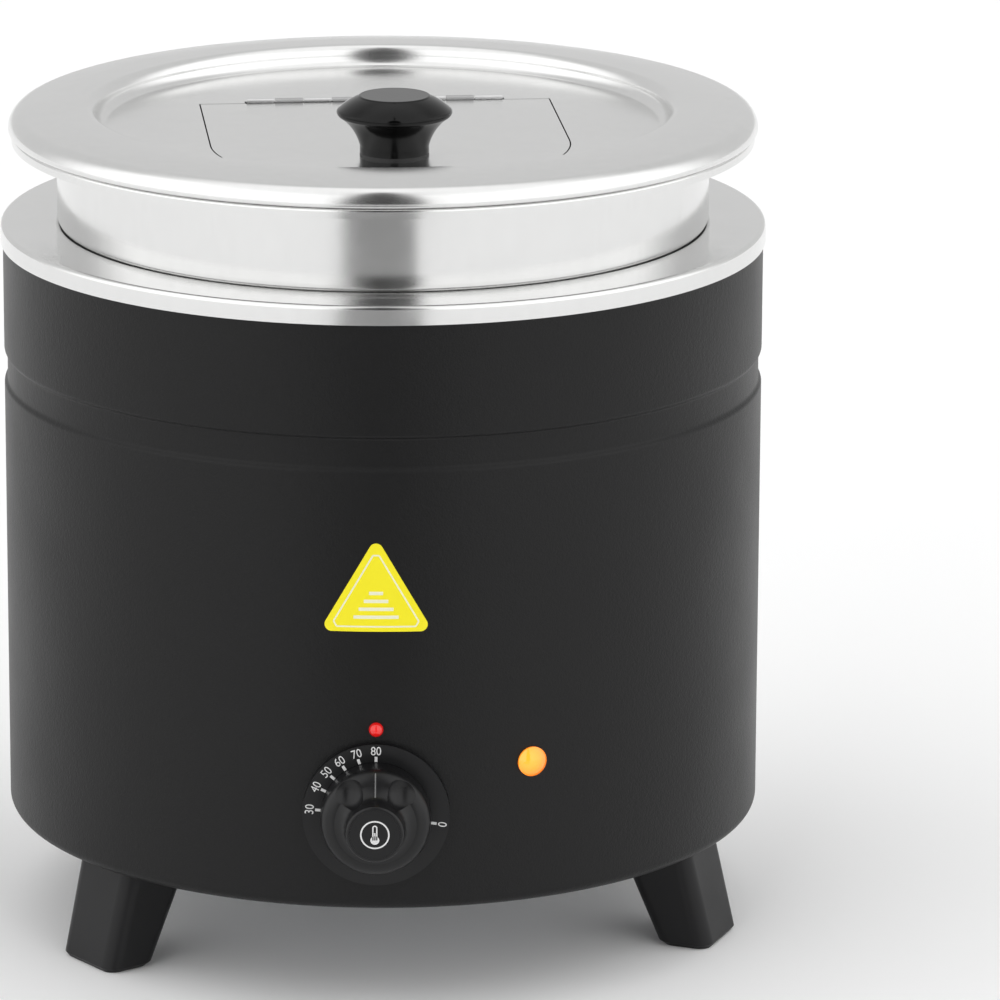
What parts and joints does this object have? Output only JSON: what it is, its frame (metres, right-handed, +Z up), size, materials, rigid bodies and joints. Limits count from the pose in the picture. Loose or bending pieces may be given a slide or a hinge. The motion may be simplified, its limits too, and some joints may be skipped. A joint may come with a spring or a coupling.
{
  "type": "soup kettle",
  "caption": "Round water-bath soup kettle with a lift-out pot, a lid with a hinged ladle flap, a thermostat dial, two lamps and three splayed legs.",
  "frame": {"origin": "on the kettle's vertical axis, on the plane that the three feet stand on", "axes": "+Z up along the kettle's axis, -Y out through the middle of the dial, +Y towards the cable gland, +X to the right seen from the front"},
  "size_m": [0.338, 0.3831, 0.3831],
  "materials": {
    "black_powder_coat": "fine-textured satin black powder coat",
    "rim_stainless": "fine brushed stainless",
    "pot_stainless": "fine brushed stainless",
    "lid_stainless": "satin stainless",
    "hinge_stainless": "satin stainless",
    "plain_steel": "zinc plated",
    "galvanised_steel": "galvanised sheet",
    "cast_aluminium": "cast",
    "element_steel": "heat-darkened tube",
    "copper_tube": "drawn copper",
    "ivory_plastic": "moulded",
    "leg_plastic": "finely grained moulding",
    "dial_plastic": "satin moulding",
    "knob_bakelite": "polished phenolic",
    "black_nylon": "moulded nylon",
    "amber_lens": "clear amber moulding",
    "red_lens": "clear red moulding",
    "yellow_vinyl": "printed vinyl",
    "brass_screws": "plain brass"
  },
  "bodies": {
    "kettle": {"outer_shell": "black_powder_coat", "water_well": "rim_stainless", "leg_front_left": "leg_plastic", "leg_front_right": "leg_plastic", "leg_rear": "leg_plastic", "leg_screws": "plain_steel", "bottom_cover": "galvanised_steel", "cover_screws": "plain_steel", "heater_plate": "cast_aluminium", "heating_element": "element_steel", "heater_clamp": "galvanised_steel", "heater_stud": "plain_steel", "heater_nut": "plain_steel", "thermal_cutout": "ivory_plastic", "dial_plate": "dial_plastic", "thermostat": "ivory_plastic", "thermostat_bracket": "galvanised_steel", "thermostat_screws": "plain_steel", "sensor_bulb": "copper_tube", "power_lamp_lens": "amber_lens", "power_lamp_body": "ivory_plastic", "power_lamp_clip": "plain_steel", "heating_lamp_lens": "red_lens", "heating_lamp_body": "ivory_plastic", "heating_lamp_clip": "plain_steel", "hot_surface_sticker": "yellow_vinyl", "cable_gland": "black_nylon", "gland_nut": "black_nylon", "terminal_block": "ivory_plastic", "capillary_tube": "copper_tube", "terminal_screws": "brass_screws"},
    "dial": {"dial_knob": "dial_plastic", "dial_cap": "dial_plastic", "thermostat_shaft": "plain_steel"},
    "pot": {"insert_pot": "pot_stainless"},
    "lid": {"lid_panel": "lid_stainless", "hinge_leaf_fixed": "hinge_stainless", "hinge_pin": "hinge_stainless"},
    "flap": {"lid_flap": "lid_stainless", "hinge_leaf_moving": "hinge_stainless", "lid_knob": "knob_bakelite", "lid_knob_washer": "black_nylon", "lid_knob_screw": "plain_steel"}
  },
  "joints": [
    {"name": "dial_turn", "type": "hinge", "parent": "kettle", "child": "dial", "pos_m": [0, -0.171, 0.092], "axis": [0, -1, 0], "range_deg": [0, 262]},
    {"name": "pot_lift", "type": "slide", "parent": "kettle", "child": "pot", "axis": [0, 0, 1], "range_m": [0, 0.2]},
    {"name": "lid_lift", "type": "slide", "parent": "pot", "child": "lid", "axis": [0, 0, 1], "range_m": [0, 0.12]},
    {"name": "flap_hinge", "type": "hinge", "parent": "lid", "child": "flap", "pos_m": [-0.0046, 0.04778, 0.35712], "axis": [-0.9954, -0.0958, 0], "range_deg": [0, 155]}
  ]
}
